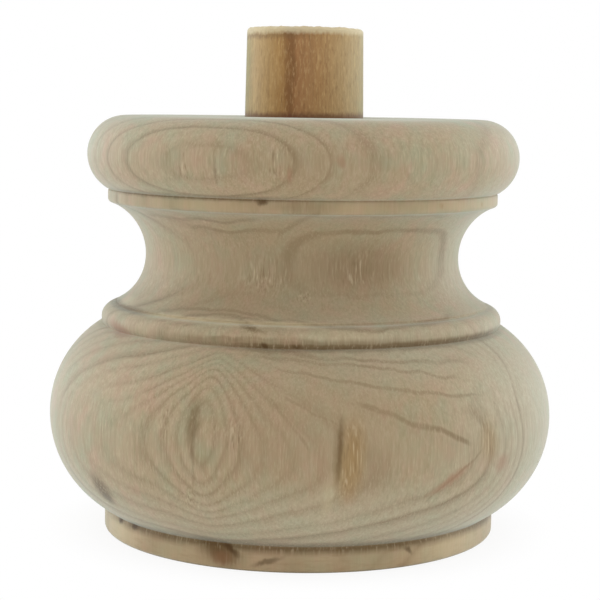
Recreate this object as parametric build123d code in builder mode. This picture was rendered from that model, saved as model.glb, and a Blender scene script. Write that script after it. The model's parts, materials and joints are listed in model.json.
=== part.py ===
from build123d import *
import os

# Turned wooden furniture foot, in millimetres.
# The foot stands on its flat sole at Z = 0, with the lathe axis along +Z.
# It is two pieces of wood: a turned body, and a dowel glued into its top.

# Heights of the mouldings, in the order in which they stack up from the floor.
ring_height = 4.8
ring_quirk_width = 1.0
bulge_lower_height = 19.7
bulge_upper_height = 18.8
waist_groove_width = 0.4
bead_lower_height = 1.3
bead_round = 2.8
arris_quirk_width = 0.5
cove_lower_height = 10.1
cove_upper_height = 11.1
fillet_height = 2.6
cap_quirk_width = 0.5
cap_lower_height = 7.2
cap_round = 8.1

# Diameters of the same mouldings.
ring_diameter = 84.6
bulge_foot_diameter = 85.6
bulge_diameter = 108.2
bulge_shoulder_diameter = 87.8
bead_diameter = 86.2
cove_lip_diameter = 79.8
neck_diameter = 67.4
fillet_diameter = 83.6
cap_foot_diameter = 84.4
cap_diameter = 92.4

# Depths of the four cuts that part one moulding from the next.
ring_quirk_depth = 1.4
waist_groove_depth = 1.0
arris_quirk_depth = 0.4
cap_quirk_depth = 0.7

# Small roundings where the sole meets the base ring and where the cove meets the fillet.
sole_round = 1.0
lip_round = 0.8

# The dowel stands proud of the body by one length and is glued in by the other.
dowel_diameter = 25.4
dowel_proud_length = 19.0
dowel_glued_length = 25.0
dowel_end_round = 0.8
dowel_glued_chamfer = 1.5

# The glued end is turned a little thinner, and the bore leaves room for glue.
glued_end_relief = 0.25
glue_clearance = 0.1
bore_mouth_chamfer = 0.5

# Levels worked out from the stack of mouldings.
ring_top = ring_height
bulge_foot = ring_top + ring_quirk_width
bulge_middle = bulge_foot + bulge_lower_height
bulge_shoulder = bulge_middle + bulge_upper_height
groove_level = bulge_shoulder + waist_groove_width
bead_middle = groove_level + bead_lower_height
bead_top = bead_middle + bead_round
cove_lip = bead_top + arris_quirk_width
neck_level = cove_lip + cove_lower_height
fillet_bottom = neck_level + cove_upper_height
fillet_top = fillet_bottom + fillet_height
cap_foot = fillet_top + cap_quirk_width
cap_middle = cap_foot + cap_lower_height
body_height = cap_middle + cap_round

# Radii worked out from the diameters.
ring_radius = ring_diameter / 2
bulge_foot_radius = bulge_foot_diameter / 2
bulge_radius = bulge_diameter / 2
bulge_shoulder_radius = bulge_shoulder_diameter / 2
bead_radius = bead_diameter / 2
bead_top_radius = bead_radius - bead_round
cove_lip_radius = cove_lip_diameter / 2
neck_radius = neck_diameter / 2
fillet_radius = fillet_diameter / 2
lip_radius = fillet_radius - lip_round
cap_foot_radius = cap_foot_diameter / 2
cap_radius = cap_diameter / 2
seat_radius = cap_radius - cap_round
dowel_radius = dowel_diameter / 2
glued_radius = dowel_radius - glued_end_relief
bore_radius = glued_radius + glue_clearance

os.makedirs("parts", exist_ok=True)

# The body is one block of wood, and its half section is drawn from the floor up.
# Each arc starts at the widest or narrowest place of its moulding, where the
# tool runs parallel to the axis, and ends at the cut that parts it from the next.
with BuildPart() as turned_body:
    with BuildSketch(Plane.XZ):
        with BuildLine():
            # Base ring with an eased lower edge, and the V-shaped quirk on top of it.
            Line((0, 0), (ring_radius - sole_round, 0))
            TangentArc((ring_radius - sole_round, 0), (ring_radius, sole_round), tangent=(1, 0))
            Line((ring_radius, sole_round), (ring_radius, ring_top))
            ring_quirk_floor = (ring_radius - ring_quirk_depth, ring_top + ring_quirk_width / 2)
            Line((ring_radius, ring_top), ring_quirk_floor)
            Line(ring_quirk_floor, (bulge_foot_radius, bulge_foot))

            # Bulge: two arcs that meet at its widest diameter.
            bulge_widest = (bulge_radius, bulge_middle)
            TangentArc(bulge_widest, (bulge_foot_radius, bulge_foot), tangent=(0, -1))
            TangentArc(bulge_widest, (bulge_shoulder_radius, bulge_shoulder), tangent=(0, 1))

            # Groove between the bulge and the bead, deepest where the two meet.
            groove_floor = (bead_radius - waist_groove_depth, groove_level)
            Line((bulge_shoulder_radius, bulge_shoulder), groove_floor)

            # Bead: tucked in below its nose, a quarter round above it, then a fine quirk.
            bead_nose = (bead_radius, bead_middle)
            TangentArc(bead_nose, groove_floor, tangent=(0, -1))
            TangentArc(bead_nose, (bead_top_radius, bead_top), tangent=(0, 1))
            arris_quirk_floor = (cove_lip_radius - arris_quirk_depth, bead_top + arris_quirk_width / 2)
            Line((bead_top_radius, bead_top), arris_quirk_floor)
            Line(arris_quirk_floor, (cove_lip_radius, cove_lip))

            # Cove: two arcs that meet at the neck.
            neck = (neck_radius, neck_level)
            TangentArc(neck, (cove_lip_radius, cove_lip), tangent=(0, -1))
            TangentArc(neck, (lip_radius, fillet_bottom), tangent=(0, 1))

            # Fillet under the cap, with a rounded lip below it and a quirk above it.
            lip_top = (fillet_radius, fillet_bottom + lip_round)
            TangentArc(lip_top, (lip_radius, fillet_bottom), tangent=(0, -1))
            Line(lip_top, (fillet_radius, fillet_top))
            cap_quirk_floor = (fillet_radius - cap_quirk_depth, fillet_top + cap_quirk_width / 2)
            Line((fillet_radius, fillet_top), cap_quirk_floor)
            Line(cap_quirk_floor, (cap_foot_radius, cap_foot))

            # Cap: two arcs that meet at its widest diameter, then the flat seat.
            cap_widest = (cap_radius, cap_middle)
            TangentArc(cap_widest, (cap_foot_radius, cap_foot), tangent=(0, -1))
            TangentArc(cap_widest, (seat_radius, body_height), tangent=(0, 1))
            Line((seat_radius, body_height), (0, body_height))
            Line((0, body_height), (0, 0))
        make_face()
    revolve(axis=Axis.Z)

    # Blind bore for the dowel, with a flat floor and an eased mouth.
    with Locations((0, 0, body_height)):
        Hole(radius=bore_radius, depth=dowel_glued_length)
    seat = turned_body.faces().filter_by(GeomType.PLANE).sort_by(Axis.Z)[-1]
    chamfer(seat.inner_wires()[0].edges(), bore_mouth_chamfer)
turned_body.part.label = "turned_body"
export_step(turned_body.part, "parts/turned_body.step")

# The dowel rests on the bore's floor. Its proud end has the full diameter and an
# eased rim, and its glued end is a little thinner, with a chamfer to lead it in.
with BuildPart() as dowel_pin:
    with BuildSketch(Plane.XY.offset(body_height - dowel_glued_length)):
        Circle(glued_radius)
    extrude(amount=dowel_glued_length)
    chamfer(dowel_pin.edges().group_by(Axis.Z)[0], dowel_glued_chamfer)
    with BuildSketch(Plane.XY.offset(body_height)):
        Circle(dowel_radius)
    extrude(amount=dowel_proud_length)
    fillet(dowel_pin.edges().group_by(Axis.Z)[-1], dowel_end_round)
dowel_pin.part.label = "dowel_pin"
export_step(dowel_pin.part, "parts/dowel_pin.step")

print("Body height", round(body_height, 2), "mm")
print("Whole height with the dowel", round(body_height + dowel_proud_length, 2), "mm")
print("Body volume", round(turned_body.part.volume / 1000, 1), "cubic centimetres")
print("Dowel volume", round(dowel_pin.part.volume / 1000, 1), "cubic centimetres")
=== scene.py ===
# %% [markdown]
# # A turned wooden furniture foot
#
# The real object is a bun foot from the lathe: one block of pale, bare wood with the
# grain running upright, and a browner dowel glued into its top. This lesson dresses
# the CAD model of that foot. The CAD solids are loaded first and stay where they are,
# because every piece of the scene has to fit them. Blender counts in metres and a
# turner in millimetres, so lengths are written in millimetres and multiplied by MM.

import json
import math

import bmesh
import bpy
from mathutils import Matrix, Vector, noise

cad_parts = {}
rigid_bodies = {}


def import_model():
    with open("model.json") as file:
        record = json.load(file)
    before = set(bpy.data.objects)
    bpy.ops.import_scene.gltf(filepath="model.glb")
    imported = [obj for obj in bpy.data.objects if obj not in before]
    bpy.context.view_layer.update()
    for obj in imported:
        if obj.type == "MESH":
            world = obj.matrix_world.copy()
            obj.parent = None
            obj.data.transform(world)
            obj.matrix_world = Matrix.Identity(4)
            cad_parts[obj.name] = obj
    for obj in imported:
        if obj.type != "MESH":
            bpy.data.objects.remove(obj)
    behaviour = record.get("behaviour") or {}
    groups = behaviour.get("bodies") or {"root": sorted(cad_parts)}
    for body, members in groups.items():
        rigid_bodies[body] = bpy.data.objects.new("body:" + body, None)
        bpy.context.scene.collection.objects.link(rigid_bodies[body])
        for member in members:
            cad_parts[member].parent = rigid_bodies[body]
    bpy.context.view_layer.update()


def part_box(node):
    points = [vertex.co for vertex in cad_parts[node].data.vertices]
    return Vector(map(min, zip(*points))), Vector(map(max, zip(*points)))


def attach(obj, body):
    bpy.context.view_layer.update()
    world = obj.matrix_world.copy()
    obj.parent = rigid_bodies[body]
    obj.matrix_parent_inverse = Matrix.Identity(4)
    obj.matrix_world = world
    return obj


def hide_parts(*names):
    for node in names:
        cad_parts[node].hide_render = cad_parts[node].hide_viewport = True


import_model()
MM = 0.001

# %% [markdown]
# ## Reading the sizes
#
# Where a size can be read from the CAD model, it is read and not typed again. The
# height of the body and the hidden end of the dowel come from their boxes. The sizes
# of the single mouldings can't be read from a box, so they are named here, in
# millimetres, in the order in which a turner would meet them from the floor up. Each
# pair is a radius and a level.

# %% Sizes from the CAD boxes
body_low, body_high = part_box("turned_body")
dowel_low, dowel_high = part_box("dowel_pin")
body_height = body_high.z / MM
widest_radius = body_high.x / MM
dowel_top = dowel_high.z / MM
dowel_end = dowel_low.z / MM
dowel_radius = dowel_high.x / MM
print("body", round(body_height, 2), "mm high and", round(2 * widest_radius, 2), "mm across")
print("dowel from", round(dowel_end, 2), "to", round(dowel_top, 2), "mm")

# %% Levels and radii of the mouldings
ring_radius, ring_top = 42.3, 4.8
ring_quirk_floor = (42.0, 5.3)
bulge_foot = (42.8, 5.8)
bulge_widest = (widest_radius, 25.5)
bulge_shoulder = (43.9, 44.3)
groove_floor = (42.7, 44.7)
bead_nose = (43.1, 46.0)
bead_top = (40.3, 48.8)
arris_quirk_floor = (39.75, 49.05)
cove_lip = (39.9, 49.3)
neck = (33.7, 59.4)
lip_bottom = (41.0, 70.5)
lip_top = (41.8, 71.3)
fillet_top = (41.8, 73.1)
cap_quirk_floor = (41.5, 73.35)
cap_foot = (42.2, 73.6)
cap_widest = (46.2, 80.8)
seat_edge = (38.1, body_height)
bore_radius = 12.55
bore_mouth = 13.05
mouth_depth = 0.5
sole_round = 1.0
print("neck radius", neck[0], "mm, cap radius", cap_widest[0], "mm")

# %% [markdown]
# ## The half section
#
# A turner cuts a moulding by swinging the tool from its widest or narrowest place,
# where the surface runs parallel to the axis, out to the cut that ends it. The same
# rule draws it here: an arc is known by that middle place and by its end. Straight
# cuts need only their two ends. A list of (radius, height) points results.

# %% Arcs and straight cuts
def swing(middle, end, step=0.6):
    """Points of the arc that runs upright at middle and stops at end."""
    run = middle[0] - end[0]
    rise = end[1] - middle[1]
    radius = (run * run + rise * rise) / (2 * run)
    sweep = math.atan2(abs(rise), abs(radius) - abs(run))
    count = max(4, round(abs(radius) * sweep / step))
    turns = [sweep * i / count for i in range(count + 1)]
    up = math.copysign(abs(radius), rise)
    return [(middle[0] - radius + radius * math.cos(a), middle[1] + up * math.sin(a)) for a in turns]


def cut(start, end, step=1.2):
    """Points of a straight cut from start to end."""
    count = max(1, round(math.dist(start, end) / step))
    along = [i / count for i in range(count + 1)]
    return [(start[0] + (end[0] - start[0]) * f, start[1] + (end[1] - start[1]) * f) for f in along]


def quarter_round(centre, size, start):
    """Points of a quarter circle of this radius round centre, upwards from the angle start."""
    angles = [start + math.pi / 2 * i / 6 for i in range(7)]
    return [(centre[0] + size * math.cos(a), centre[1] + size * math.sin(a)) for a in angles]


print("points in the upper half of the bulge:", len(swing(bulge_widest, bulge_shoulder)))

# %% [markdown]
# No edge on wood is perfectly sharp. Sandpaper and handling take a little off every
# arris, and that little curve is what catches the light. The next helper walks along
# the half section and swaps each corner for a tiny curve.

# %% Ease the arrises
least_turn = math.radians(20)
longest_share = 0.45


def ease_corners(points, arris):
    """The same line with every sharp corner rounded by about arris."""
    eased = [points[0]]
    for before, here, after in zip(points, points[1:], points[2:]):
        a = Vector(before) - Vector(here)
        b = Vector(after) - Vector(here)
        turn = math.pi - a.angle(b)
        if turn < least_turn:
            eased.append(here)
            continue
        start = Vector(here) + a.normalized() * min(arris, longest_share * a.length)
        end = Vector(here) + b.normalized() * min(arris, longest_share * b.length)
        for f in (0, 0.25, 0.5, 0.75, 1):
            eased.append(tuple(start * (1 - f) ** 2 + 2 * f * (1 - f) * Vector(here) + end * f * f))
    eased.append(points[-1])
    return eased


def joined(*runs):
    """One line from several runs of points, without the points that two runs share."""
    line = [runs[0][0]]
    for run in runs:
        line += [p for p in run if math.dist(p, line[-1]) > 1e-4]
    return line


print("corners that turn by less than", round(math.degrees(least_turn)), "degrees are left as they are")

# %% [markdown]
# With these helpers the half section of the body is one walk: along the sole, up the
# ring, the bulge, the bead, the cove, the fillet and the cap, over the seat and down
# into the bore. The quirks are drawn a little shallower than in the CAD model,
# because in the photograph they show as soft brown lines, and their shade is painted
# in further on as brown bands.

# %% Half section of the body
soft_arris = 0.35
sole_edge = (ring_radius - sole_round, 0)
sole_arc = quarter_round((ring_radius - sole_round, sole_round), sole_round, -math.pi / 2)
body_section = joined(
    cut((0, 0), sole_edge, 6),
    sole_arc,
    cut((ring_radius, sole_round), (ring_radius, ring_top)),
    cut((ring_radius, ring_top), ring_quirk_floor),
    cut(ring_quirk_floor, bulge_foot),
    swing(bulge_widest, bulge_foot)[::-1],
    swing(bulge_widest, bulge_shoulder),
    cut(bulge_shoulder, groove_floor, 0.6),
    swing(bead_nose, groove_floor, 0.3)[::-1],
    swing(bead_nose, bead_top, 0.4),
    cut(bead_top, arris_quirk_floor),
    cut(arris_quirk_floor, cove_lip),
    swing(neck, cove_lip)[::-1],
    swing(neck, lip_bottom),
    swing(lip_top, lip_bottom, 0.2)[::-1],
    cut(lip_top, fillet_top, 0.6),
    cut(fillet_top, cap_quirk_floor),
    cut(cap_quirk_floor, cap_foot),
    swing(cap_widest, cap_foot)[::-1],
    swing(cap_widest, seat_edge),
    cut(seat_edge, (bore_mouth, body_height), 5),
    cut((bore_mouth, body_height), (bore_radius, body_height - mouth_depth)),
    cut((bore_radius, body_height - mouth_depth), (bore_radius, dowel_end), 6),
    cut((bore_radius, dowel_end), (0, dowel_end), 6),
)
body_section = ease_corners(body_section, soft_arris)
print("half section of the body:", len(body_section), "points")

# %% [markdown]
# ## The lathe
#
# A lathe is a rule: every point of the half section goes round the axis once. That
# makes it a good first tree for Geometry Nodes. A flat grid has one row for each
# point of the section and one column for each step of the turn. Each grid point looks
# up its section point, and then it is put at that radius, turned by its column's
# angle. Merging points that touch closes the seam and the two poles.

# %% Helpers for node trees
def new_tree(name, inputs):
    """An empty geometry tree with these named inputs and one geometry output."""
    tree = bpy.data.node_groups.new(name, "GeometryNodeTree")
    for label, kind in inputs.items():
        tree.interface.new_socket(name=label, in_out="INPUT", socket_type=kind)
    tree.interface.new_socket(name="Geometry", in_out="OUTPUT", socket_type="NodeSocketGeometry")
    return tree


def set_stops(marks, stops):
    """Gives a colour ramp these stops, each a position and a colour."""
    while len(marks) < len(stops):
        marks.new(0.5)
    for mark, (position, colour) in zip(marks, stops):
        mark.position = position
        mark.color = colour


def put(tree, kind, settings=None, sockets=None):
    """One node, with its settings first and then the values or links of its sockets."""
    node = tree.nodes.new(kind)
    for name, value in (settings or {}).items():
        if name == "stops":
            set_stops(node.color_ramp.elements, value)
        else:
            setattr(node, name, value)
    for name, value in (sockets or {}).items():
        value = getattr(value, "socket", value)
        if isinstance(value, bpy.types.NodeSocket):
            tree.links.new(value, node.inputs[name])
        else:
            node.inputs[name].default_value = value
    return node


def maths(tree, operation, *values):
    """The result of one Math node."""
    return put(tree, "ShaderNodeMath", {"operation": operation}, dict(enumerate(values))).outputs[0]


print("helpers for node trees:", ", ".join(way.__name__ for way in (new_tree, set_stops, put, maths)))

# %% [markdown]
# The tree has named inputs for its sizes. A grid point's number tells its row and its
# column, and Sample Index looks up the point of the half section for that row. The
# tree ends with Realize Instances and Set Material.

# %% The lathe as a node tree
lathe = new_tree("lathe", {
    "Half section": "NodeSocketGeometry",
    "Turning steps": "NodeSocketInt",
    "Closing gap": "NodeSocketFloat",
    "Wood": "NodeSocketMaterial",
})
given = lathe.nodes.new("NodeGroupInput").outputs
counted = put(lathe, "GeometryNodeAttributeDomainSize", {"component": "MESH"}, {0: given["Half section"]})
rows = counted.outputs["Point Count"]
columns = maths(lathe, "ADD", given["Turning steps"], 1)
grid = put(lathe, "GeometryNodeMeshGrid", None, {"Vertices X": columns, "Vertices Y": rows})
index = put(lathe, "GeometryNodeInputIndex").outputs[0]
column = maths(lathe, "FLOOR", maths(lathe, "DIVIDE", index, rows))
row = maths(lathe, "SUBTRACT", index, maths(lathe, "MULTIPLY", column, rows))
place = put(lathe, "GeometryNodeInputPosition").outputs[0]
sockets = {"Geometry": given["Half section"], "Value": place, "Index": row}
found = put(lathe, "GeometryNodeSampleIndex", {"data_type": "FLOAT_VECTOR"}, sockets)
parts = put(lathe, "ShaderNodeSeparateXYZ", None, {0: found.outputs[0]}).outputs
share_of_turn = maths(lathe, "DIVIDE", column, given["Turning steps"])
angle = maths(lathe, "MULTIPLY", share_of_turn, 2 * math.pi)
right = maths(lathe, "MULTIPLY", parts["X"], maths(lathe, "SINE", angle))
minus_cosine = maths(lathe, "MULTIPLY", maths(lathe, "COSINE", angle), -1)
away = maths(lathe, "MULTIPLY", parts["X"], minus_cosine)
turned = put(lathe, "ShaderNodeCombineXYZ", None, {"X": right, "Y": away, "Z": parts["Z"]})
sockets = {"Geometry": grid.outputs["Mesh"], "Position": turned.outputs[0]}
shaped = put(lathe, "GeometryNodeSetPosition", None, sockets)
sockets = {"Geometry": shaped.outputs[0], "Distance": given["Closing gap"]}
closed = put(lathe, "GeometryNodeMergeByDistance", None, sockets)
smooth = put(lathe, "GeometryNodeSetShadeSmooth", None, {"Geometry": closed.outputs[0]})
real = put(lathe, "GeometryNodeRealizeInstances", None, {"Geometry": smooth.outputs[0]})
sockets = {"Geometry": real.outputs[0], "Material": given["Wood"]}
dressed = put(lathe, "GeometryNodeSetMaterial", None, sockets)
put(lathe, "NodeGroupOutput", None, {0: dressed.outputs[0]})
print("lathe tree:", len(lathe.nodes), "nodes")

# %% [markdown]
# The tree is run on a small object that holds nothing but the half section. What
# comes out is copied into a plain mesh, because the finished piece must not depend on
# a modifier. The sign of the volume tells whether the faces point outwards.

# %% Run the lathe
closing_gap = 1e-6


def turn(name, section, steps, wood):
    """A closed turned piece from a half section in millimetres."""
    line = bpy.data.meshes.new(name + "_half_section")
    edges = [(i, i + 1) for i in range(len(section) - 1)]
    line.from_pydata([(r * MM, 0, z * MM) for r, z in section], edges, [])
    blank = bpy.data.objects.new(name + "_blank", line)
    bpy.context.scene.collection.objects.link(blank)
    modifier = blank.modifiers.new("lathe", "NODES")
    modifier.node_group = lathe
    sizes = {"Turning steps": steps, "Closing gap": closing_gap, "Wood": wood}
    for item in lathe.interface.items_tree:
        if item.in_out == "INPUT" and item.name in sizes:
            modifier[item.identifier] = sizes[item.name]
    settled = blank.evaluated_get(bpy.context.evaluated_depsgraph_get())
    mesh = bpy.data.meshes.new_from_object(settled)
    mesh.name = name
    blank.modifiers.remove(modifier)
    bpy.data.objects.remove(blank)
    made = bmesh.new()
    made.from_mesh(mesh)
    if made.calc_volume(signed=True) < 0:
        bmesh.ops.reverse_faces(made, faces=made.faces)
    open_edges = sum(1 for e in made.edges if not e.is_manifold)
    volume = made.calc_volume() / MM**3 / 1000
    print(name, len(made.faces), "faces,", open_edges, "open edges,", round(volume, 1), "cm3")
    made.to_mesh(mesh)
    made.free()
    piece = bpy.data.objects.new(name, mesh)
    bpy.context.scene.collection.objects.link(piece)
    return piece


print("the lathe closes gaps of up to", closing_gap / MM, "mm")

# %% [markdown]
# ## Writing wood as sums
#
# The colour of solid wood is one pattern in space: the growth rings are sheets inside
# the block, and the lathe cuts through them. So the pattern is worked out for each
# point of space, from its own coordinates. That takes many small sums, and this class
# lets them be written as ordinary Python: a sum of two amounts adds a Math node.

# %% An amount that varies
class Amount:
    """A number that varies over the surface, held by a node's socket."""

    def __init__(self, finish, socket):
        self.finish = finish
        self.socket = socket

    def sum_of(self, operation, *values):
        """The result of one Math node on these values."""
        return self.finish.amount("ShaderNodeMath", {"operation": operation}, dict(enumerate(values)))

    def __add__(self, other):
        return self.sum_of("ADD", self, other)

    def __radd__(self, other):
        return self.sum_of("ADD", other, self)

    def __sub__(self, other):
        return self.sum_of("SUBTRACT", self, other)

    def __rsub__(self, other):
        return self.sum_of("SUBTRACT", other, self)

    def __mul__(self, other):
        return self.sum_of("MULTIPLY", self, other)

    def __rmul__(self, other):
        return self.sum_of("MULTIPLY", other, self)

    def __truediv__(self, other):
        return self.sum_of("DIVIDE", self, other)

    def __pow__(self, other):
        return self.sum_of("POWER", self, other)

    def or_more(self, other):
        """The larger of the two at each point."""
        return self.sum_of("MAXIMUM", self, other)

    def size(self):
        """The same amount without its sign."""
        return self.sum_of("ABSOLUTE", self)

    def held(self):
        """The same amount kept between 0 and 1."""
        return self.finish.amount("ShaderNodeClamp", None, {"Value": self})

    def between(self, low, high):
        """0 below low, 1 above high, and an even slope from one to the other."""
        return ((self - low) / (high - low)).held()


print("ways to use an amount:", sum(callable(way) for way in vars(Amount).values()))

# %% [markdown]
# A finish is one material. Colours don't go through Math nodes, which would turn them
# grey, but through Mix nodes. The colours below are written as they look on a screen,
# from 0 to 255, and turned into the amounts of light that a shader wants.

# %% A finish and its colours
class Finish:
    """A material, with one way of adding a node to it."""

    def __init__(self, name):
        self.material = bpy.data.materials.new(name)
        self.material.use_nodes = True
        self.tree = self.material.node_tree
        self.tree.nodes.clear()

    def node(self, kind, settings=None, sockets=None):
        """One node of this material."""
        return put(self.tree, kind, settings, sockets)

    def amount(self, kind, settings=None, sockets=None, output=0):
        """One output of a new node, as an amount."""
        return Amount(self, self.node(kind, settings, sockets).outputs[output])

    def noise(self, place, detail=2.0, roughness=0.5):
        """Smooth noise round 0, from about -1 to 1."""
        sockets = {"Vector": place, "Scale": 1.0, "Detail": detail, "Roughness": roughness}
        return self.amount("ShaderNodeTexNoise", {"noise_dimensions": "3D"}, sockets) * 2 - 1

    def mix(self, factor, first, second):
        """A colour between two colours."""
        sockets = {0: factor, 6: first, 7: second}
        return self.node("ShaderNodeMix", {"data_type": "RGBA"}, sockets).outputs[2]

    def tell(self):
        """Prints how many nodes the material has by now."""
        print(self.material.name, "has", len(self.tree.nodes), "nodes")


def paint(red, green, blue):
    """A colour as written on a screen, from 0 to 255, for a shader's socket."""
    def linear(v):
        v = v / 255
        return v / 12.92 if v <= 0.04045 else ((v + 0.055) / 1.055) ** 2.4
    return (linear(red), linear(green), linear(blue), 1.0)


def grey(value):
    """A colour without a hue."""
    return (value, value, value, 1.0)


print("a mid wood colour:", [round(v, 3) for v in paint(165, 150, 125)])

# %% [markdown]
# ## Growth rings
#
# This block was sawn from the outside of a large tree, so its rings are wide sheets
# that curve only a little. The bark was at the viewer's left. Near a branch the
# sheets bulge outwards, and where the lathe cuts through such a bulge, closed loops
# and bull's-eyes show. Each of these swirls is written down once, by how far it lifts
# the rings in millimetres, at which azimuth and level, how wide and tall it is, and
# whether its top is round or a sharp crest. Azimuth 0 faces the viewer, and it grows
# to the viewer's right.

# %% Swirls in the rings
swirls = {
    "crest on the bulge": (9.6, -20, 34, 14, 21, "crest"),
    "hollow round the crest": (-9.0, -24, 28, 26, 25, "round"),
    "right of the neck": (19.4, 49, 62, 17, 26, "round"),
    "far right of the neck": (19.4, 70, 63, 10, 24, "round"),
    "lip of the cove": (6.5, 42, 41, 24, 6, "round"),
    "right of the cap": (24.0, 67, 95, 23, 13, "round"),
    "right of the bulge": (20.6, 50, 21, 27, 22, "round"),
    "left of the cap": (1.4, -10, 79, 20, 17, "round"),
}
print(len(swirls), "swirls, the strongest of", max(lift for lift, *_ in swirls.values()), "mm")

# %% [markdown]
# The dark line of each ring is the dense wood of late summer. Each line has a place
# along the growth, in millimetres, and a darkness from 0 to 1. The cap has a list of
# its own, because its lines are spaced in another way than those on the bulge.

# %% Ring lines
body_lines = (
    (30.0, 0.4), (32.8, 0.85), (35.8, 0.6), (38.5, 0.5), (40.6, 0.6), (43.8, 0.8), (45.5, 0.55),
    (47.5, 0.65), (48.8, 0.6), (49.7, 0.6), (50.6, 0.65), (51.7, 0.7), (52.8, 0.65), (53.9, 0.7),
)
cap_lines = (
    (30.0, 0.6), (33.2, 0.1), (35.8, 0.65), (38.0, 0.15), (39.5, 0.78), (40.5, 0.3), (42.3, 0.8),
    (43.4, 0.2), (44.9, 0.5),
)
lines_from, lines_to = 28.0, 56.0
last_fade = 1.5
fade_share = 0.4


def ring_stops(lines, low, high):
    """Ramp stops that peak at each ring line, fall quickly outwards and rise slowly inwards."""
    stops = [(0.0, grey(0))]
    after_last = (lines[-1][0] + last_fade, 0)
    for (here, dark), (after, _) in zip(lines, lines[1:] + (after_last,)):
        stops.append(((here - low) / (high - low), grey(dark)))
        stops.append(((here + (after - here) * fade_share - low) / (high - low), grey(0)))
    return stops


print(len(body_lines), "ring lines below the cap and", len(cap_lines), "in it")

# %% [markdown]
# Everything in this wood hangs on where a point lies in the block. Object coordinates
# give that in metres, and one Vector Math node turns them into millimetres. Two small
# helpers follow. One looks at the block from any side, and the other draws the space
# out along the grain, so that a round speck of noise becomes a long fibre.

# %% Places in the block
bare_wood = Finish("bare_wood")


def in_millimetres(finish):
    """The place of a point in its piece, in millimetres."""
    place = finish.node("ShaderNodeTexCoord").outputs["Object"]
    scaled = finish.node("ShaderNodeVectorMath", {"operation": "SCALE"}, {0: place, "Scale": 1 / MM})
    return scaled.outputs[0]


place_mm = in_millimetres(bare_wood)
axes = bare_wood.node("ShaderNodeSeparateXYZ", None, {0: place_mm})
x, y, z = (Amount(bare_wood, axes.outputs[i]) for i in range(3))


def seen_from(azimuth):
    """How far a point lies across and towards a viewer who stands at that azimuth."""
    turn_to = math.radians(azimuth)
    sine, cosine = math.sin(turn_to), math.cos(turn_to)
    return x * cosine + y * sine, x * sine - y * cosine


def stretched(wide, tall, shift=0.0):
    """The place, measured in units of wide across the grain and tall along it."""
    scale = (1 / wide, 1 / wide, 1 / tall)
    sockets = {"Vector": place_mm, "Scale": scale, "Location": (shift, shift, shift)}
    return bare_wood.node("ShaderNodeMapping", {"vector_type": "POINT"}, sockets).outputs[0]


bare_wood.tell()

# %% [markdown]
# The growth at a point is its distance from the middle of the tree, counted from the
# axis of this block. Each swirl adds its lift where it lies, and two noises keep the
# rings from being too even.

# %% How far a point lies along the growth
tree_centre = 250.0
bark_azimuth = -25
ring_lean = -0.05
ring_tilt = -0.04
untilted_level = 45
crest_softness = 0.1
swirl_fade = 15

across, depth = seen_from(bark_azimuth)
reach = depth + tree_centre
growth = (reach * reach + across * across) ** 0.5 - tree_centre
growth = growth + across * ring_lean + (z - untilted_level) * ring_tilt
for lift, azimuth, level, wide, tall, top in swirls.values():
    aside, towards = seen_from(azimuth)
    sideways = aside * aside * (1 / wide**2)
    if top == "crest":
        sideways = (sideways + crest_softness**2) ** 0.5 - crest_softness
    upwards = (z - level) * (1 / tall)
    power = {0: (sideways + upwards * upwards) * -1}
    swell = bare_wood.amount("ShaderNodeMath", {"operation": "EXPONENT"}, power)
    growth = growth + swell * towards.between(0, swirl_fade) * lift
slow_waver = bare_wood.noise(stretched(9, 14), 1.0) * 0.35
quick_waver = bare_wood.noise(stretched(2.2, 5), 1.0) * 0.10
growth = growth + slow_waver + quick_waver
bare_wood.tell()

# %% [markdown]
# ## Marks at their places
#
# A knot or a torn patch sits at one place on the surface. It is an oval in space, put
# where the half section has its surface at that level, and its edge is made ragged by
# noise. A Mapping node of the Texture kind measures how far a point lies from the
# middle of the oval, in units of the oval's own size. A wide oval is also deep, so
# that the round surface stays inside it.

# %% Ragged ovals
jitter_sockets = {"Vector": stretched(0.9, 2.4), "Scale": 1.0, "Detail": 3.0}
jitter = bare_wood.node("ShaderNodeTexNoise", {"noise_dimensions": "3D"}, jitter_sockets)
centred_sockets = {0: jitter.outputs["Color"], 1: (0.5, 0.5, 0.5)}
centred = bare_wood.node("ShaderNodeVectorMath", {"operation": "SUBTRACT"}, centred_sockets)
ragged_sockets = {0: centred.outputs[0], 1: (0.9, 0.9, 1.2), 2: place_mm}
ragged = bare_wood.node("ShaderNodeVectorMath", {"operation": "MULTIPLY_ADD"}, ragged_sockets).outputs[0]
outside_from = 20
least_depth = 4.0
depth_divisor = 30
full_share = 0.15


def radius_at(level):
    """The radius of the body at a level, read from its half section."""
    outside = [p for p in body_section if p[0] > outside_from]
    return min(outside, key=lambda p: abs(p[1] - level))[0]


def spot(azimuth, level, wide, tall, lean=0.0, strength=1.0):
    """A ragged oval on the surface: strength at its middle, 0 at its edge."""
    turn_to = math.radians(azimuth)
    radius = radius_at(level)
    deep = max(least_depth, wide * wide / depth_divisor)
    sockets = {
        "Vector": ragged,
        "Location": (radius * math.sin(turn_to), -radius * math.cos(turn_to), level),
        "Rotation": (0, -math.radians(lean), turn_to),
        "Scale": (wide, deep, tall),
    }
    local = bare_wood.node("ShaderNodeMapping", {"vector_type": "TEXTURE"}, sockets).outputs[0]
    away = bare_wood.amount("ShaderNodeVectorMath", {"operation": "LENGTH"}, {0: local}, "Value")
    fall = {"Value": away, "From Min": 1.0, "From Max": full_share, "To Min": 0.0, "To Max": strength}
    return bare_wood.amount("ShaderNodeMapRange", {"interpolation_type": "SMOOTHSTEP"}, fall)


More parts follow.
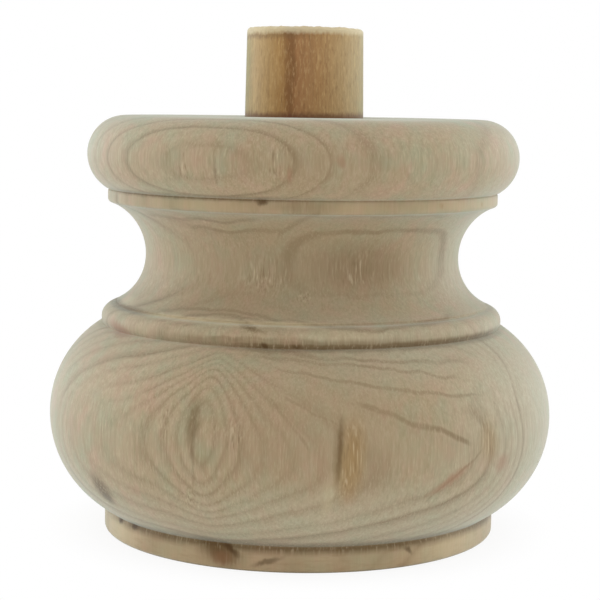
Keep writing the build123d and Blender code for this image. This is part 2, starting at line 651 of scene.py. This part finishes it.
def strongest(shape, given):
    """The largest, at each point, of several named spots, bands or lines.

    They are merged one at a time, because a shader can hold only so many values at once.
    """
    first, *others = given.values()
    most = shape(*first)
    for other in others:
        most = most.or_more(shape(*other))
    return most


print("radius of the neck by the half section:", radius_at(neck[1]), "mm")

# %% [markdown]
# Other marks are lines: the painted shade in a quirk or under the bead is a level band,
# and some grain lines of the photograph run so flat over the bead and the neck that
# they are drawn one by one, each as a bow with wavy edges. All of them fade out
# towards the far side, so that the back of the foot keeps its own plain rings.

# %% Bands and drawn lines
line_core = 1.4
end_taper = 0.3
side_fade = 6
band_fade = 8
wavy_z = z + bare_wood.noise(stretched(2.5, 9)) * 0.35
drawn_z = wavy_z + bare_wood.noise(stretched(8, 13, 60), 1.0) * 1.1


def soft_line(off, thick):
    """1 along the middle of a line and 0 from its thickness on."""
    return (line_core - off * (line_core / thick)).held()


def band(azimuth, half_angle, level, thick, strength):
    """A level stripe with wavy edges that fades out half_angle either side of azimuth."""
    _, towards = seen_from(azimuth)
    radius = radius_at(level)
    faint = radius * math.cos(math.radians(half_angle + band_fade))
    full = radius * math.cos(math.radians(half_angle - band_fade))
    reach_in = towards.between(faint, full)
    return soft_line((wavy_z - level).size(), thick) * reach_in * strength


def grain_line(azimuth, level, half_wide, rise, thick, strength, climb=0.0):
    """A bowed grain line: its middle lies at level plus rise, and it climbs to the right."""
    aside, towards = seen_from(azimuth)
    bow = (1 - aside * aside * (1 / half_wide**2)).held()
    off = (drawn_z - level - bow * rise - aside * climb).size()
    return soft_line(off, thick) * bow.between(0, end_taper) * towards.between(0, side_fade) * strength


def grain_loop(azimuth, level, half_wide, half_tall, thick, strength):
    """A closed grain line, rounder than a box and flatter than an oval, and fainter below."""
    aside, towards = seen_from(azimuth)
    along = aside * (1 / half_wide)
    upwards = (drawn_z - level) * (1 / half_tall)
    from_middle = (along * along * along * along + upwards * upwards * upwards * upwards) ** 0.25
    off = (from_middle - 1).size() * half_tall
    fainter_below = 0.35 + upwards.between(-1.0, 0.2) * 0.65
    return soft_line(off, thick) * towards.between(0, side_fade) * fainter_below * strength


bare_wood.tell()

# %% [markdown]
# ## Late wood
#
# Near the viewer the ring lines come from the two lists. Deeper in the block, and so
# at the back of the foot, they repeat evenly. In calm places the lines are sanded
# away or lie too flat to show.

# %% Lines of the listed rings
along_lines = growth.between(lines_from, lines_to)
body_stops = {"stops": ring_stops(body_lines, lines_from, lines_to)}
cap_stops = {"stops": ring_stops(cap_lines, lines_from, lines_to)}
below = bare_wood.amount("ShaderNodeValToRGB", body_stops, {"Fac": along_lines})
above = bare_wood.amount("ShaderNodeValToRGB", cap_stops, {"Fac": along_lines})
cap_start = (72.5, 74.0)
in_cap = z.between(*cap_start)
listed = below * (1 - in_cap) + above * in_cap
calm = strongest(spot, {
    "left of the neck": (-48, 60, 20, 9, 0, 0.85),
    "bead, left": (-20, 46.6, 11, 5, 0, 1.0),
    "bulge top, right": (30, 38, 9, 5, 0, 0.8),
    "right edge of the neck": (66, 60, 11, 10, 0, 0.7),
    "bulge top, far right": (47, 38.5, 13, 10, 0, 0.7),
    "right of the neck": (30, 60, 44, 22, 0, 1.0),
    "bulge, left": (-52, 30, 16, 16, 0, 0.5),
    "bulge shoulder": (22, 40, 34, 9, -6, 0.9),
    "middle of the bulge": (28, 30, 18, 8, -20, 0.8),
    "left edge of the bulge": (-76, 28, 14, 34, 0, 0.8),
    "right edge of the bulge": (78, 28, 12, 34, 0, 0.6),
})
listed = listed * (1 - calm)
print("stops on the two ramps:", len(body_stops["stops"]), "and", len(cap_stops["stops"]))

# %% Even rings deeper in the block
ring_width = 2.7
drift = bare_wood.noise(stretched(40, 90), 0.0) * 0.3
ring_count = growth * (1 / ring_width) + drift
fraction = bare_wood.amount("ShaderNodeMath", {"operation": "FRACT"}, {0: ring_count})
deep_inside = 1 - growth.between(-5, 20)
inner = fraction ** 4 * (0.25 + deep_inside * 0.4)
outer_part = growth.between(lines_from - 1, lines_from + 1)
ring_line = inner * (1 - outer_part) + listed * outer_part
come_and_go = 0.75 + bare_wood.noise(stretched(7, 10, 50)) * 0.5
sharp_line = ring_line ** 2.3 * 0.95
soft_shade = ring_line ** 1.3 * 0.24
late_wood = (sharp_line + soft_shade) * come_and_go
print("even rings are", ring_width, "mm wide")

# %% [markdown]
# Each drawn grain line is given by the azimuth and level of its middle, half its
# width, how far its bow rises, its thickness and its strength, and, where it slants,
# by how steeply it climbs to the right. One closed loop lies on the neck.

# %% Grain lines drawn one by one
drawn = strongest(grain_line, {
    "under the fillet, left": (-34, 69.3, 15, -0.5, 0.6, 0.6),
    "sag below it": (-22, 67.4, 11, -0.9, 0.7, 0.55),
    "climb to the fillet": (-1, 68.5, 4.5, 0.2, 0.9, 0.55, 0.55),
    "under the fillet, right": (24, 70.0, 17, 0.2, 0.5, 0.4),
    "over the bead": (-27, 48.6, 18, 2.3, 0.45, 0.6),
    "far left of the bead": (-64, 49.2, 13, 0.4, 0.4, 0.5),
    "second over the bead": (-24, 47.7, 15, 2.3, 0.45, 0.6),
    "third over the bead": (-21, 47.3, 10, 1.5, 0.4, 0.5),
    "right over the bead": (24, 49.9, 19, -1.5, 0.55, 0.6),
    "on the bead's nose": (-10, 46.0, 12, 0.5, 0.5, 0.4),
    "first on the bulge": (17, 43.0, 23, 0.0, 0.5, 0.5, -0.07),
    "second on the bulge": (15, 41.2, 21, 0.7, 0.5, 0.5, -0.12),
    "third on the bulge": (20, 38.8, 22, -1.0, 0.5, 0.5, -0.16),
    "long slope to the right": (25.5, 30.7, 12.5, 0.5, 0.8, 0.7, -0.38),
    "way back from its tip": (35, 20, 6.5, 0.4, 0.6, 0.5, 0.76),
    "start of the slope": (2.5, 34, 5.5, 0.2, 0.5, 0.6, -0.55),
    "steep end by the torn patch": (-2, 31.6, 4.0, 0.8, 0.8, 0.6, -1.1),
}).or_more(grain_loop(27, 60.6, 17.6, 6.5, 0.7, 0.65))
late_wood = late_wood.or_more(drawn * come_and_go)
bare_wood.tell()

# %% [markdown]
# ## Fibres and patches
#
# Between the ring lines the wood is never one colour. Wide clouds, pink and greenish
# patches and small specks tint it, and each of them is one field of noise with its own
# stretch. Fibres are noise drawn out along the grain. Where the noise is high a tint
# is mixed in, and how high it has to be decides how much of the surface is tinted.

# %% Early wood
cloud = bare_wood.noise(stretched(22, 34))
pink = bare_wood.noise(stretched(5, 8, 30), 2.0, 0.6)
olive = bare_wood.noise(stretched(6, 8, 70), 2.0, 0.6)
speck = bare_wood.noise(stretched(1.2, 4.5, 80), 2.0, 0.6)
shaded_straw = paint(156, 137, 106)
light_straw = paint(166, 150, 122)
pinkish = paint(168, 140, 115)
greenish = paint(150, 148, 119)
pink_speck = paint(172, 144, 124)
green_speck = paint(142, 139, 104)
painted_light_grey = paint(162, 156, 132)

early = bare_wood.mix(cloud.between(-0.5, 0.5), shaded_straw, light_straw)
early = bare_wood.mix(pink.between(-0.05, 0.4) * 0.8, early, pinkish)
early = bare_wood.mix(olive.between(-0.1, 0.4) * 0.8, early, greenish)
early = bare_wood.mix(speck.between(0.05, 0.5) * 0.35, early, pink_speck)
early = bare_wood.mix((speck * -1).between(0.05, 0.5) * 0.35, early, green_speck)
# Painted light: the right side of the bulge and neck, the wood below the bead and under the bulge are
# painted a paler grey for the light from the side lamps and the floor.
painted_pale_light = strongest(spot, {
    "right of the bulge": (58, 30, 34, 26, 0, 0.5),
    "under the bulge": (12, 13, 52, 10, 0, 0.5),
    "right of the neck": (62, 60, 14, 24, 0, 0.4),
    "below the bead": (28, 44, 28, 10, 0, 0.4),
})
early = bare_wood.mix(painted_pale_light, early, painted_light_grey)
bare_wood.tell()

# %% [markdown]
# The dark of the late wood goes over the early wood, and fibres go over both. The
# base ring and the fillet look smoother than the rest, so their fibres show less. On
# the base ring, sanding across the grain has smeared a little dirt along it.

# %% Late wood, fibres and smears
fibre = bare_wood.noise(stretched(0.55, 10), 3.0, 0.6)
fine = bare_wood.noise(stretched(0.28, 2.4), 2.0, 0.6)
smear = bare_wood.noise(stretched(3.5, 0.8, 40))
late_brown = paint(106, 85, 56)
fibre_brown = paint(110, 88, 56)
fibre_light = paint(204, 192, 162)
smear_brown = paint(112, 88, 54)

shade = bare_wood.mix(late_wood.held(), early, late_brown)
ring_end = (4.2, 5.4)
fillet_start, fillet_end = (70.2, 71.0), (73.0, 73.6)
on_ring = 1 - z.between(*ring_end)
on_fillet = z.between(*fillet_start) * (1 - z.between(*fillet_end))
tooled = 1 - (on_ring + on_fillet) * 0.6
shade = bare_wood.mix(fibre.between(-0.3, 0.6) * tooled * 0.38, shade, fibre_brown)
shade = bare_wood.mix(fine.between(0.0, 0.7) * tooled * 0.32, shade, fibre_light)
shade = bare_wood.mix(smear.between(0.0, 0.5) * on_ring * 0.4, shade, smear_brown)
bare_wood.tell()

# %% [markdown]
# ## Stains, torn grain, knots and painted light and shade
#
# These marks make this foot itself and not just any foot, though some of them are
# painted light and shade. A spot is given by its azimuth and level, by how far it
# reaches sideways and upwards from its middle, and, where it has them, by its lean in
# degrees and its strength. A band is given by its azimuth, half its angle, its level,
# its thickness and its strength. Wide soft tints come first and small dark marks last,
# because each mix covers what lies under it.

# %% Painted ring light, painted front shade and a warm fillet
# Painted light: the base ring is painted paler, in place of light from the floor below.
ring_light_share = 0.35
painted_ring_light = (1 - wavy_z.between(3.8, 5.0)) * ring_light_share
shade = bare_wood.mix(painted_ring_light, shade, paint(184, 158, 120))
# Painted shade: the front of the bulge, neck and cap, and the wood above the bead, are painted darker
# where less light reaches them.
painted_front_shade = strongest(spot, {
    "bulge": (6, 30, 34, 20, 0, 0.45),
    "neck": (4, 61, 34, 17, 0, 0.5),
    "cap": (4, 79, 20, 9, 0, 0.3),
    "above the bead": (-24, 53, 18, 9, 0, 0.4),
})
shade = bare_wood.mix(painted_front_shade, shade, paint(140, 119, 88))
warm_fillet = band(30, 75, 71.9, 1.3, 0.3) * (0.7 + cloud * 0.6)
shade = bare_wood.mix(warm_fillet, shade, paint(186, 160, 116))
bare_wood.tell()

# %% Brown stains, painted quirk shade and torn patches
brown_spots = strongest(spot, {
    "round the left knot": (-50.6, 14.0, 4.2, 6.6, 5, 1.0),
    "edge of the torn patch": (8.0, 26.5, 1.6, 11, -4, 0.45),
    "middle of the fillet": (0, 72.0, 9, 2.6, 0, 0.35),
    "above the ring knot": (-23.0, 5.0, 9, 4.6, -22, 0.95),
    "eye of the bulge": (-22.3, 31.5, 2.6, 8, 0, 0.5),
    "round the ring knot": (-19.5, 3.6, 4.8, 4.4, 0, 0.85),
    "inside the neck loop": (20.5, 59.8, 15, 7.5, 0, 0.36),
    "bruise on the bead": (-14.5, 48.6, 4.6, 1.0, -20, 0.8),
})
# Painted shade: these bands darken the quirks and the hollow under the bead, where shade falls; under the
# bead the brown is also torn grain.
painted_quirk_shade = strongest(band, {
    "under the bead": (-5, 30, 45.6, 1.2, 0.4),
    "under the bead, right": (27, 46, 45.1, 1.1, 0.75),
    "ring quirk": (12, 76, 5.3, 1.9, 0.75),
    "quirk on the bead, left": (-74, 18, 49.1, 0.6, 0.9),
    "quirk under the cap": (-35, 30, 73.4, 0.8, 0.5),
})
stains_and_quirk_shade = brown_spots.or_more(painted_quirk_shade)
shade = bare_wood.mix(stains_and_quirk_shade, shade, paint(100, 76, 42))
orange_patches = strongest(spot, {
    "torn patch": (10.5, 24.2, 3.9, 13.5, -5, 1.0),
    "right patch": (44, 26.5, 4.2, 7, 0, 0.6),
    "first tick on the fillet": (41.1, 72.1, 0.8, 0.9, 0, 0.6),
    "second tick on the fillet": (61.2, 72.0, 0.9, 0.9, 0, 0.6),
})
shade = bare_wood.mix(orange_patches * 0.8, shade, paint(142, 113, 70))
bare_wood.tell()

# %% Painted pale light, a pale streak and red streaks
# Painted light: the pale ovals on the sides of the ring, at the far left above the bead and on the round
# of the bead stand for light; only the one under the torn patch is a pale streak of the wood.
pale_streak_and_painted_light = strongest(spot, {
    "left above the bead": (-72, 50.2, 7, 1.4, 0, 0.3),
    "ring, right": (48, 2.6, 17, 4, 0, 0.35),
    "ring, left": (-62, 2.6, 12, 4, 0, 0.4),
    "under the torn patch": (6.2, 17.5, 1.8, 8, -6, 0.2),
    "round of the bead": (8, 47.3, 16, 1.6, 0, 0.15),
})
# Painted light: a pale stripe fills in the shade of the quirk on the bead's left.
painted_arris_light = band(-22, 26, 49.1, 0.7, 0.4)
shade = bare_wood.mix(pale_streak_and_painted_light.or_more(painted_arris_light), shade, paint(204, 188, 152))
red_streaks = strongest(spot, {
    "left under the bead": (-60, 45.3, 8, 2.0, -10, 0.8),
    "right of the torn patch": (33, 19.5, 8.5, 1.5, 31, 0.6),
    "its upper end": (49, 21.5, 3, 2.8, 0, 0.5),
    "cap": (-3.3, 78.5, 0.9, 2.3, 0, 0.5),
    "cap, higher": (9, 81, 1.2, 2, 0, 0.45),
})
shade = bare_wood.mix(red_streaks, shade, paint(140, 100, 74))
bare_wood.tell()

# %% [markdown]
# In a few areas a blunt edge tore the fibres, and left short upright ticks there. Their
# dark is painted shade in their hollows and their pale a painted highlight on their
# edges; one field of noise gives both.

# %% Ticks of torn fibre
ticks = bare_wood.noise(stretched(0.42, 4, 20), 1.0)
rough_areas = strongest(spot, {
    "cap, left": (-30, 79, 1.9, 4.5),
    "cap, middle": (-6, 81, 3.4, 6),
    "neck, left": (-13, 58, 8, 5.5),
    "neck, right": (18, 59, 8, 4.5),
    "above the bead": (1, 54, 2.4, 1.8),
    "bulge eye, left": (-29, 31, 2.4, 5.5),
    "bulge eye, right": (-13, 29, 2.6, 6.5),
    "under the eye": (-24, 16, 3.5, 4),
    "left of the eye": (-45, 28, 2.4, 2.4),
    "right patch": (44, 26.5, 4.5, 7),
})
tick_areas = rough_areas.or_more(orange_patches).or_more(stains_and_quirk_shade)
# Painted shade and painted highlight of the torn ticks.
shade = bare_wood.mix(ticks.between(0.1, 0.5) * tick_areas * 0.5, shade, paint(104, 80, 50))
shade = bare_wood.mix((ticks * -1).between(0.1, 0.5) * tick_areas * 0.35, shade, paint(205, 190, 158))
bare_wood.tell()

# %% Dark marks and knots
dark_marks = strongest(spot, {
    "left knot": (-50.3, 12.4, 2.3, 2.0, 0, 0.45),
    "crack in the ring knot": (-18.6, 4.5, 3.6, 1.2, -38, 0.95),
    "tail of the ring knot": (-24.5, 5.6, 6, 2.0, -14, 0.35),
    "foot of the ring knot": (-21.5, 3.2, 2.8, 2.4, 0, 0.4),
    "pin knot on the fillet": (-10.7, 72.9, 1.7, 1.0, 0, 0.8),
    "slit in the torn patch": (8.2, 27.0, 0.8, 9, -3, 0.5),
    "hair crack in the eye": (-22, 27, 0.6, 13, 0, 0.28),
    "hair crack in the cap": (-21.6, 79, 0.45, 5, 0, 0.3),
    "nick under the bead": (-9.5, 45.2, 1.3, 0.8, 0, 0.8),
    "second nick": (-1.2, 45.2, 1.2, 0.7, 0, 0.6),
    "pit in the ring quirk": (-60.9, 5.1, 1.9, 1.1),
    "second pit": (-52.5, 5.1, 2.1, 1.2),
    "scratch on the ring": (-8, 2.3, 4.4, 0.9, 18, 0.6),
    "scratch on the ring, right": (31.5, 3.6, 1.7, 0.8, -40, 0.7),
})
shade = bare_wood.mix(dark_marks, shade, paint(76, 51, 16))
red_foot = spot(-20.7, 2.4, 3.4, 2.0, 0, 0.6)
shade = bare_wood.mix(red_foot, shade, paint(126, 88, 56))
bare_wood.tell()

# %% [markdown]
# Bare, sanded wood hardly shines. A low specular level and a rough surface do most of
# that, and a faint cool sheen stands for the fuzz of fibres that catches light at a
# flat angle. Only the fibres feed the bump, because every node behind a bump is
# worked out three times.

# %% The surface of bare wood
fibre_bump = bare_wood.node("ShaderNodeBump", None, {
    "Strength": 0.35,
    "Distance": 0.08 * MM,
    "Height": fibre * 0.5 + fine * 0.5,
})
surface = bare_wood.node("ShaderNodeBsdfPrincipled", None, {
    "Base Color": shade,
    "Roughness": 0.62 + fibre * 0.06,
    "Normal": fibre_bump.outputs[0],
    "Specular IOR Level": 0.2,
    "Sheen Weight": 0.35,
    "Sheen Roughness": 0.45,
    "Sheen Tint": (0.78, 1.0, 1.0, 1.0),
})
bare_wood.node("ShaderNodeOutputMaterial", None, {"Surface": surface.outputs[0]})
bare_wood.tell()

# %% [markdown]
# ## Turning the body
#
# Now the half section, the lathe and the wood come together. The piece takes the
# place of the CAD body.

# %% Turn the body
body = turn("turned_body_wood", body_section, 256, bare_wood.material)
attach(body, "root")
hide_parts("turned_body")

# %% [markdown]
# ## The dowel
#
# The dowel is a short length of browner rod. It was sanded down towards its top, so
# it is a little thinner there. Its glued end is thinner too and has a chamfer that
# leads it into the bore, so the same lathe makes it from its own half section.

# %% Half section of the dowel
dowel_top_radius = 12.4
dowel_rim = 0.9
glued_radius = 12.45
lead_in = 1.5
shoulder_rise = 0.4
rim_arc = quarter_round((dowel_top_radius - dowel_rim, dowel_top - dowel_rim), dowel_rim, 0)
dowel_section = joined(
    cut((0, dowel_end), (glued_radius - lead_in, dowel_end), 5),
    cut((glued_radius - lead_in, dowel_end), (glued_radius, dowel_end + lead_in)),
    cut((glued_radius, dowel_end + lead_in), (glued_radius, body_height - shoulder_rise), 5),
    cut((glued_radius, body_height - shoulder_rise), (dowel_radius, body_height)),
    cut((dowel_radius, body_height), (dowel_top_radius, dowel_top - dowel_rim), 0.8),
    rim_arc,
    cut((dowel_top_radius - dowel_rim, dowel_top), (0, dowel_top), 2),
)
dowel_section = ease_corners(dowel_section, 0.1)
print("half section of the dowel:", len(dowel_section), "points")

# %% [markdown]
# The dowel was cut from the side of a plank, so its growth rings are upright layers
# that run from left to right: pale, then honey, a dark heart streak left of the
# middle, and pale again. A ramp across the rod holds them, and noise makes them
# wander.

# %% Layers across the dowel
dowel_wood = Finish("dowel_wood")
dowel_place = in_millimetres(dowel_wood)
dowel_axes = dowel_wood.node("ShaderNodeSeparateXYZ", None, {0: dowel_place})
from_left = Amount(dowel_wood, dowel_axes.outputs[0])
up_dowel = Amount(dowel_wood, dowel_axes.outputs[2])


def dowel_noise(wide, tall, detail=2.0):
    """Noise drawn out along the dowel."""
    sockets = {"Vector": dowel_place, "Scale": (1 / wide, 1 / wide, 1 / tall)}
    drawn_out = dowel_wood.node("ShaderNodeMapping", {"vector_type": "POINT"}, sockets)
    return dowel_wood.noise(drawn_out.outputs[0], detail, 0.6)


dowel_layers = (
    (-12.7, paint(140, 134, 84)),
    (-10.5, paint(178, 153, 104)),
    (-8, paint(173, 143, 92)),
    (-4.8, paint(163, 126, 73)),
    (-3.3, paint(128, 88, 43)),
    (-2.3, paint(126, 86, 43)),
    (-1.2, paint(154, 111, 66)),
    (3, paint(163, 126, 79)),
    (6, paint(167, 137, 92)),
    (9, paint(171, 148, 103)),
    (11, paint(166, 148, 102)),
    (12.7, paint(158, 150, 108)),
)
layers_end = 13
wander = from_left + dowel_noise(5, 6) * 1.2 + dowel_noise(1.0, 3) * 0.5
layer_stops = [((at + layers_end) / (2 * layers_end), colour) for at, colour in dowel_layers]
along_layers = wander.between(-layers_end, layers_end)
layers = dowel_wood.node("ShaderNodeValToRGB", {"stops": layer_stops}, {"Fac": along_layers})
print("layers across the dowel:", len(dowel_layers))

# %% [markdown]
# On top of the layers lie streaks, fine fibres and short dark ticks. The sawn rim is
# frayed and pale, and just under it the left side is painted darker. Where the dowel
# meets the seat, a dark band is painted shade at the joint.

# %% Fibres, rim and foot of the dowel
streak = dowel_noise(0.6, 12, 3.0)
dowel_fine = dowel_noise(0.4, 1.5)
dowel_ticks = dowel_noise(0.5, 2.2)
dowel_shade = dowel_wood.mix(streak.between(-0.3, 0.7) * 0.4, layers.outputs[0], paint(104, 70, 38))
dowel_shade = dowel_wood.mix(dowel_fine.between(0.0, 0.6) * 0.45, dowel_shade, paint(204, 176, 124))
dowel_shade = dowel_wood.mix(dowel_ticks.between(0.1, 0.6) * 0.45, dowel_shade, paint(98, 64, 30))
ragged_level = up_dowel + dowel_noise(0.9, 1.6) * 0.7
rim = ragged_level.between(dowel_top - 1.9, dowel_top - 1.1)
# Just under the rim, on the left, a darker ragged band is painted.
under_rim = ragged_level.between(dowel_top - 3.0, dowel_top - 2.2) * (1 - rim)
under_rim = under_rim * (1 - from_left.between(-6, 4))
dowel_shade = dowel_wood.mix(under_rim * 0.5, dowel_shade, paint(110, 84, 52))
dowel_shade = dowel_wood.mix(rim * 0.75, dowel_shade, paint(198, 186, 152))
# Painted shade: a dark band at the foot of the dowel, where the seat meets it.
painted_joint_shade = 1 - ragged_level.between(body_height + 0.4, body_height + 1.4)
dowel_shade = dowel_wood.mix(painted_joint_shade * 0.75, dowel_shade, paint(96, 56, 34))
dowel_bump = dowel_wood.node("ShaderNodeBump", None, {
    "Strength": 0.5,
    "Distance": 0.12 * MM,
    "Height": streak * 0.5 + dowel_fine * 0.4 + dowel_ticks * 0.3,
})
dowel_surface = dowel_wood.node("ShaderNodeBsdfPrincipled", None, {
    "Base Color": dowel_shade,
    "Roughness": 0.62 + dowel_fine * 0.06,
    "Normal": dowel_bump.outputs[0],
    "Specular IOR Level": 0.35,
    "Sheen Weight": 0.22,
    "Sheen Roughness": 0.35,
    "Sheen Tint": (0.9, 1.0, 0.9, 1.0),
})
dowel_wood.node("ShaderNodeOutputMaterial", None, {"Surface": dowel_surface.outputs[0]})
dowel_wood.tell()

# %% [markdown]
# The saw left the rim of the dowel uneven. Its points are lowered a little by noise,
# most at the rim and not at all in the middle of the end. Nothing is raised, so the
# dowel keeps its length.

# %% Turn the dowel and fray its rim
dowel = turn("dowel_wood", dowel_section, 192, dowel_wood.material)
fray_reach = 1.2
fray_slope = 0.8
flat_middle = 11
deepest = 0
for corner in dowel.data.vertices:
    below_top = (corner.co.z / MM - dowel_top + fray_reach) / fray_slope
    from_axis = math.hypot(corner.co.x, corner.co.y) / MM / flat_middle
    near_rim = min(1, max(0, below_top)) * min(1, from_axis)
    rough_cut = noise.noise(corner.co / MM * 0.7) + 0.6 * noise.noise(corner.co / MM * 1.9)
    lowered = max(0, 0.18 + 0.22 * rough_cut) * near_rim**3
    deepest = max(deepest, lowered)
    corner.co.z -= lowered * MM
print("the fraying is up to", round(deepest, 2), "mm deep")
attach(dowel, "root")
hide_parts("dowel_pin")

# %% [markdown]
# ## Floor, light and camera
#
# The foot stands on a white sweep in soft light from all round. The floor is plain
# white paint. For the camera and for mirrored rays it is brightened to pure white,
# but a tenth of the real light is left close to the foot, so that the shadow under
# the ring stays.

# %% Floor
def plain_disc(name, radius, level):
    """A flat round sheet, facing up."""
    made = bmesh.new()
    bmesh.ops.create_circle(made, cap_ends=True, segments=96, radius=radius)
    bmesh.ops.translate(made, verts=made.verts, vec=(0, 0, level))
    mesh = bpy.data.meshes.new(name)
    made.to_mesh(mesh)
    made.free()
    sheet = bpy.data.objects.new(name, mesh)
    bpy.context.scene.collection.objects.link(sheet)
    return sheet


mirrored_rays = ("Is Glossy Ray", "Is Transmission Ray")
shadow_from, shadow_to = 0.042, 0.056
shadow_share = 0.1

floor_paint = Finish("floor_paint")
matt = floor_paint.node("ShaderNodeBsdfDiffuse", None, {"Color": grey(0.9)})
glow = floor_paint.node("ShaderNodeEmission", None, {"Color": grey(1.0), "Strength": 1.0})
floor_rays = floor_paint.node("ShaderNodeLightPath").outputs
seen = Amount(floor_paint, floor_rays["Is Camera Ray"])
for ray in mirrored_rays:
    seen = seen.or_more(Amount(floor_paint, floor_rays[ray]))
floor_place = floor_paint.node("ShaderNodeTexCoord").outputs["Object"]
length = {"operation": "LENGTH"}
from_foot = floor_paint.amount("ShaderNodeVectorMath", length, {0: floor_place}, "Value")
whitened = (1 - shadow_share) + from_foot.between(shadow_from, shadow_to) * shadow_share
sockets = {0: seen * whitened, 1: matt.outputs[0], 2: glow.outputs[0]}
both = floor_paint.node("ShaderNodeMixShader", None, sockets)
floor_paint.node("ShaderNodeOutputMaterial", None, {"Surface": both.outputs[0]})
floor = plain_disc("floor", 3.0, -0.00002)
floor.data.materials.append(floor_paint.material)
floor_paint.tell()

# %% [markdown]
# The world is the room round the foot. It lights the wood at less than half of full
# white, while the camera sees a white backdrop, as in a catalogue photograph.

# %% World light
room_light = 0.45
world = bpy.data.worlds.new("studio")
bpy.context.scene.world = world
world.use_nodes = True
world_tree = world.node_tree
world_tree.nodes.clear()
world_rays = put(world_tree, "ShaderNodeLightPath").outputs
seen_white = world_rays["Is Camera Ray"]
for ray in mirrored_rays:
    seen_white = maths(world_tree, "MAXIMUM", seen_white, world_rays[ray])
room = put(world_tree, "ShaderNodeBackground", None, {"Color": grey(1.0), "Strength": room_light})
backdrop = put(world_tree, "ShaderNodeBackground", None, {"Color": grey(1.0), "Strength": 1.0})
sockets = {0: seen_white, 1: room.outputs[0], 2: backdrop.outputs[0]}
chosen = put(world_tree, "ShaderNodeMixShader", None, sockets)
put(world_tree, "ShaderNodeOutputWorld", None, {"Surface": chosen.outputs[0]})
print("the room lights the wood at", room_light, "of white")

# %% [markdown]
# Two soft boxes behind the foot give its sides their pale edges, one above brightens
# the seat, and a weak one in front fills the shadows. A light table on the floor
# sends light up under the bulge and the cap. The camera doesn't see it.

# %% Lamps
def soft_lamp(name, place, aim, size, power):
    """A square soft box of this size in metres and power in watts that faces aim."""
    lamp = bpy.data.lights.new(name, "AREA")
    lamp.size = size
    lamp.energy = power
    made = bpy.data.objects.new(name, lamp)
    made.location = place
    made.rotation_euler = (Vector(aim) - Vector(place)).to_track_quat("-Z", "Y").to_euler()
    bpy.context.scene.collection.objects.link(made)
    return made


middle = (0, 0, 0.05)
foot_on_floor = (0, 0, 0)
straight_up = (0, 0, 1)
soft_lamp("soft_box_left", (-0.9, 0.35, 0.25), middle, 0.8, 7.0)
soft_lamp("soft_box_right", (0.9, 0.35, 0.25), middle, 0.8, 7.0)
soft_lamp("soft_box_top", (0.0, -0.25, 1.1), middle, 1.0, 6.0)
light_table = soft_lamp("light_table", (0.0, 0.0, 0.0003), straight_up, 1.0, 0.8)
soft_lamp("soft_box_low", (0.0, -1.0, 0.08), foot_on_floor, 0.5, 2.4)
light_table.visible_camera = False

# %% [markdown]
# The camera stands 376 mm in front of the axis, a little above the seat, and looks
# down by six and a half degrees. These numbers come from fitting the ellipses of the
# dowel, the seat and the base ring in the photograph. It was also held a little
# askew, which is why there is a roll of less than a degree.

# %% Camera
camera_place = Vector((0, -376.2, 91.94)) * MM
pitch = math.radians(6.449)
yaw = math.radians(-0.044)
roll = math.radians(0.85)
ahead = Vector((
    math.sin(yaw) * math.cos(pitch),
    math.cos(yaw) * math.cos(pitch),
    -math.sin(pitch),
))
level_right = Vector((math.cos(yaw), -math.sin(yaw), 0))
level_up = level_right.cross(ahead)
right_axis = level_right * math.cos(roll) + level_up * math.sin(roll)
up_axis = level_up * math.cos(roll) - level_right * math.sin(roll)
turned_so = Matrix((right_axis, up_axis, -ahead)).transposed().to_4x4()

lens = bpy.data.cameras.new("camera")
lens.sensor_width = 36.0
lens.lens = 104.54
lens.clip_start = 0.02
camera = bpy.data.objects.new("camera", lens)
camera.matrix_world = Matrix.Translation(camera_place) @ turned_so
bpy.context.scene.collection.objects.link(camera)
bpy.context.scene.camera = camera
bpy.context.scene.view_settings.view_transform = "Standard"
print("camera at", [round(v, 3) for v in camera_place])

# %% Update the scene
bpy.context.view_layer.update()
